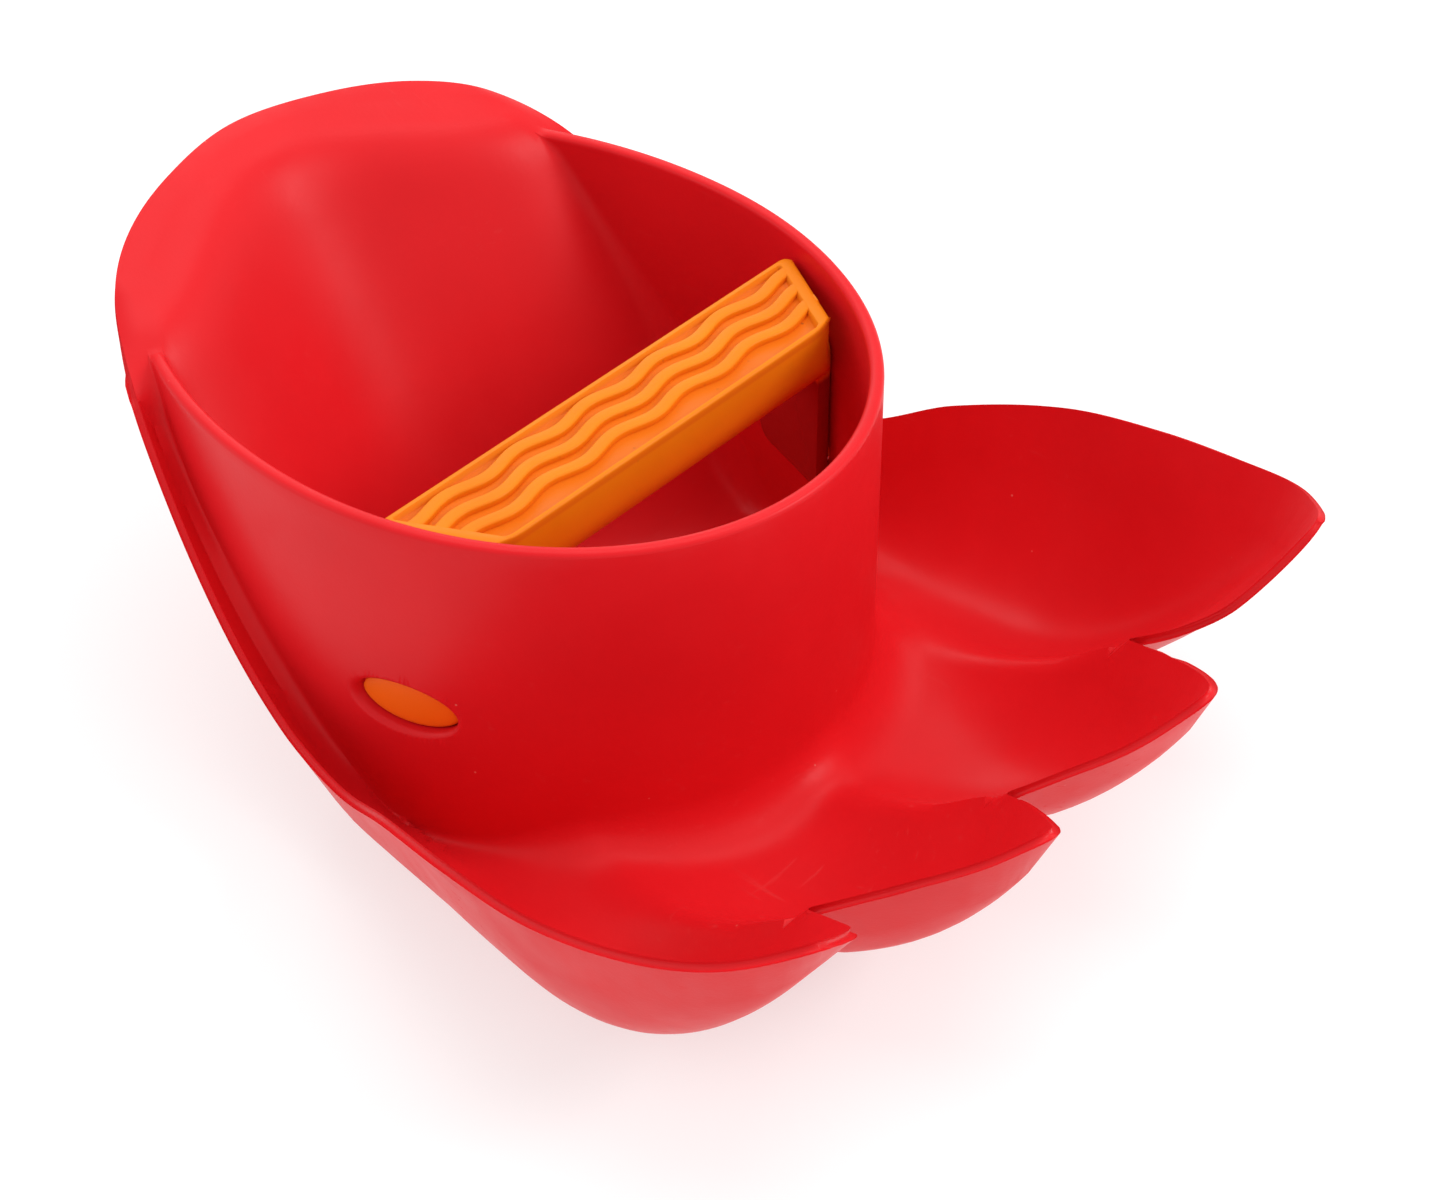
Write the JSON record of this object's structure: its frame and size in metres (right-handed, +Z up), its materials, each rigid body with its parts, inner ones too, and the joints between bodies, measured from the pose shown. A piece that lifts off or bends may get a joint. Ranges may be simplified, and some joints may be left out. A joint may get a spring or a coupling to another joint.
{
  "type": "hand-worn digging claw scoop",
  "caption": "Hand-worn sand scoop: a moulded shell with claw-shaped channels, an oval hand cup and a wrist guard, and a ribbed grip bar across the cup.",
  "frame": {"origin": "middle of the footprint, on the plane the scoop rests on", "axes": "+X points from the wrist guard to the claws, +Z up, and the scoop is mirrored left to right about the plane y = 0"},
  "size_m": [0.1923, 0.1502, 0.0745],
  "materials": {
    "red_plastic": "satin gloss, lightly scuffed",
    "orange_plastic": "satin gloss, lightly scuffed"
  },
  "bodies": {
    "root": {"scoop_shell": "red_plastic", "grip_bar": "orange_plastic"}
  },
  "joints": []
}
